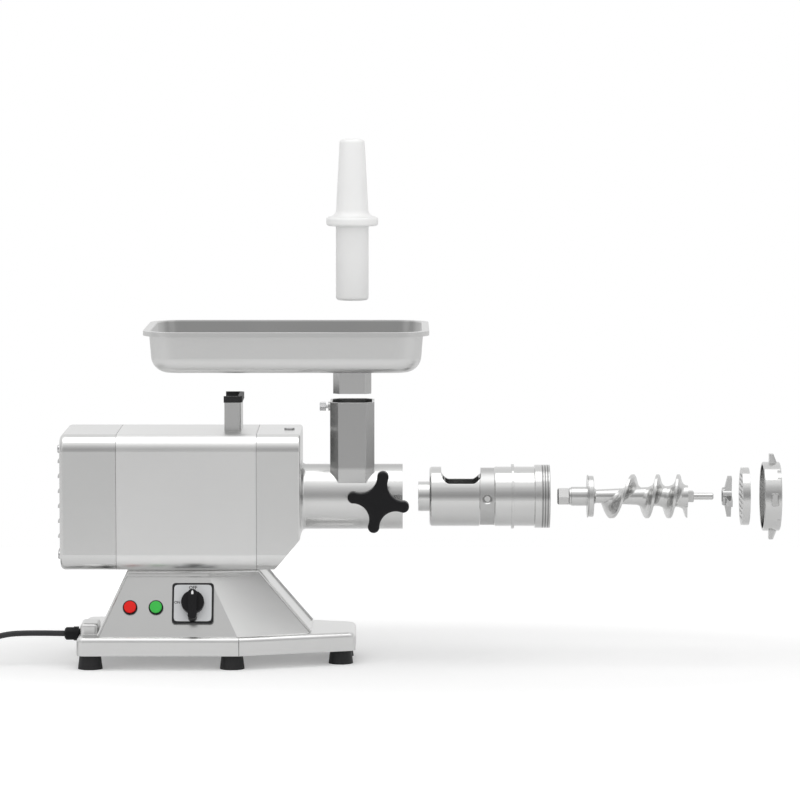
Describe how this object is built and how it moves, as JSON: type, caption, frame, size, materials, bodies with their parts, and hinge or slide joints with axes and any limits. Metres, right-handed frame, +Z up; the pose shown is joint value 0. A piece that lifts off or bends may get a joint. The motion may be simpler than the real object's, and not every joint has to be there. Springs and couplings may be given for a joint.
{
  "type": "electric meat grinder",
  "caption": "Stainless electric meat grinder on a tapered base, with its tray, pusher, feed barrel, worm, knife, plate and ring nut drawn out of their seats on slides.",
  "frame": {"origin": "on the floor under the middle of the drawn-out part, on the worm axis's plane", "axes": "+X along the worm towards the outlet, -Y towards the control panel, +Z up"},
  "size_m": [1.155, 0.23, 0.6342],
  "materials": {
    "housing_steel": "satin brushed",
    "cast_metal": "fine satin casting",
    "tray_steel": "satin pressed sheet",
    "feed_steel": "turned and polished",
    "inner_steel": "machined",
    "bearing_steel": "ground",
    "lamination": "stacked sheet",
    "copper": "enamelled wire",
    "black_rubber": "matt",
    "cord_rubber": "smooth matt",
    "black_plastic": "satin moulded",
    "grey_plastic": "satin plate in a black frame",
    "white_plastic": "smooth white polyethylene",
    "red_plastic": "gloss",
    "green_plastic": "gloss"
  },
  "bodies": {
    "machine": {"base_casting": "cast_metal", "bottom_plate": "housing_steel", "rubber_feet": "black_rubber", "foot_screws": "inner_steel", "pedestal_shell": "housing_steel", "switch_body": "black_plastic", "switch_plate": "grey_plastic", "button_bezels": "black_plastic", "rear_cover": "housing_steel", "motor_cover": "housing_steel", "gear_case": "cast_metal", "oil_plug": "inner_steel", "hub_sleeve": "cast_metal", "tray_support": "housing_steel", "support_trims": "black_rubber", "support_screws": "inner_steel", "drive_bearings": "bearing_steel", "shaft_seal": "black_rubber", "countershaft_bearings": "bearing_steel", "bearing_plate": "cast_metal", "motor_end_shield": "cast_metal", "housing_screws": "inner_steel", "stator": "lamination", "stator_windings": "copper", "motor_cradle": "cast_metal", "motor_bearings": "bearing_steel", "capacitor": "grey_plastic", "cable_gland": "black_plastic", "mains_cord": "cord_rubber", "cord_coil": "cord_rubber", "cord_tie": "black_plastic", "plug_body": "black_plastic", "plug_pins": "bearing_steel"},
    "rotor": {"rotor_core": "lamination", "rotor_shaft": "inner_steel", "cooling_fan": "black_plastic"},
    "countershaft": {"countershaft": "inner_steel", "countershaft_gear": "inner_steel"},
    "drive": {"drive_shaft": "inner_steel", "output_gear": "inner_steel"},
    "switch_knob": {"switch_knob": "black_plastic"},
    "stop_button": {"stop_button": "red_plastic"},
    "start_button": {"start_button": "green_plastic"},
    "clamp_stud": {"clamp_stud": "inner_steel"},
    "star_knob": {"star_knob": "black_plastic"},
    "thumb_shank": {"thumb_screw_shank": "inner_steel"},
    "thumb_head": {"thumb_screw_head": "inner_steel"},
    "tray": {"feed_tray": "tray_steel", "tray_spout": "tray_steel"},
    "pusher": {"pusher": "white_plastic"},
    "barrel": {"barrel": "feed_steel", "plate_key": "inner_steel"},
    "worm_carrier": {"thrust_washer": "inner_steel"},
    "worm": {"feed_screw": "feed_steel"},
    "knife": {"knife": "feed_steel"},
    "plate": {"perforated_plate": "feed_steel"},
    "ring": {"ring_nut": "feed_steel"}
  },
  "joints": [
    {"name": "drive_spin", "type": "hinge", "parent": "machine", "child": "drive", "pos_m": [-0.1446, 0, 0.2], "axis": [1, 0, 0], "continuous": true},
    {"name": "countershaft_spin", "type": "hinge", "parent": "machine", "child": "countershaft", "pos_m": [-0.1446, 0.03182, 0.23182], "axis": [1, 0, 0], "continuous": true},
    {"name": "rotor_spin", "type": "hinge", "parent": "machine", "child": "rotor", "pos_m": [-0.1446, 0, 0.2], "axis": [1, 0, 0], "continuous": true},
    {"name": "switch_turn", "type": "hinge", "parent": "machine", "child": "switch_knob", "pos_m": [-0.2736, -0.07244, 0.07793], "axis": [0, -0.9252, 0.3796], "range_deg": [-45, 90]},
    {"name": "stop_press", "type": "slide", "parent": "machine", "child": "stop_button", "axis": [0, 0.9252, -0.3796], "range_m": [0, 0.003], "stiffness_N_per_m": 600},
    {"name": "start_press", "type": "slide", "parent": "machine", "child": "start_button", "axis": [0, 0.9252, -0.3796], "range_m": [0, 0.003], "stiffness_N_per_m": 600},
    {"name": "clamp_advance", "type": "slide", "parent": "machine", "child": "clamp_stud", "axis": [0, -1, 0], "range_m": [-0.00194, 0.00389]},
    {"name": "clamp_turn", "type": "hinge", "parent": "clamp_stud", "child": "star_knob", "pos_m": [-0.0509, -0.06, 0.2], "axis": [0, -1, 0], "range_deg": [-400, 800]},
    {"name": "thumb_advance", "type": "slide", "parent": "machine", "child": "thumb_shank", "axis": [-1, 0, 0], "range_m": [-0.0016, 0.0024]},
    {"name": "thumb_turn", "type": "hinge", "parent": "thumb_shank", "child": "thumb_head", "pos_m": [-0.1093, 0, 0.31], "axis": [-1, 0, 0], "range_deg": [-720, 1080]},
    {"name": "tray_lift", "type": "slide", "parent": "machine", "child": "tray", "axis": [0, 0, 1], "range_m": [-0.032, 0]},
    {"name": "pusher_lift", "type": "slide", "parent": "tray", "child": "pusher", "axis": [0, 0, 1], "range_m": [-0.17, 0]},
    {"name": "barrel_pull", "type": "slide", "parent": "machine", "child": "barrel", "axis": [1, 0, 0], "range_m": [-0.1318, 0]},
    {"name": "worm_draw", "type": "slide", "parent": "barrel", "child": "worm_carrier", "axis": [1, 0, 0], "range_m": [-0.1851, 0]},
    {"name": "worm_spin", "type": "hinge", "parent": "worm_carrier", "child": "worm", "pos_m": [-0.1446, 0, 0.2], "axis": [1, 0, 0], "continuous": true},
    {"name": "plate_draw", "type": "slide", "parent": "worm_carrier", "child": "plate", "axis": [1, 0, 0], "range_m": [-0.0533, 0]},
    {"name": "knife_draw", "type": "slide", "parent": "worm", "child": "knife", "axis": [1, 0, 0], "range_m": [-0.0416, 0]},
    {"name": "ring_draw", "type": "slide", "parent": "plate", "child": "ring", "axis": [1, 0, 0], "range_m": [-0.0311, 0]}
  ],
  "couplings": [
    {"joint": "countershaft_spin", "follows": "drive_spin", "ratio": -2},
    {"joint": "rotor_spin", "follows": "drive_spin", "ratio": 9.0769},
    {"joint": "worm_spin", "follows": "drive_spin", "ratio": 1},
    {"joint": "clamp_turn", "follows": "clamp_advance", "rad_per_m": 3590.4},
    {"joint": "thumb_turn", "follows": "thumb_advance", "rad_per_m": 7854},
    {"joint": "knife_draw", "follows": "plate_draw", "ratio": 0.78049}
  ]
}
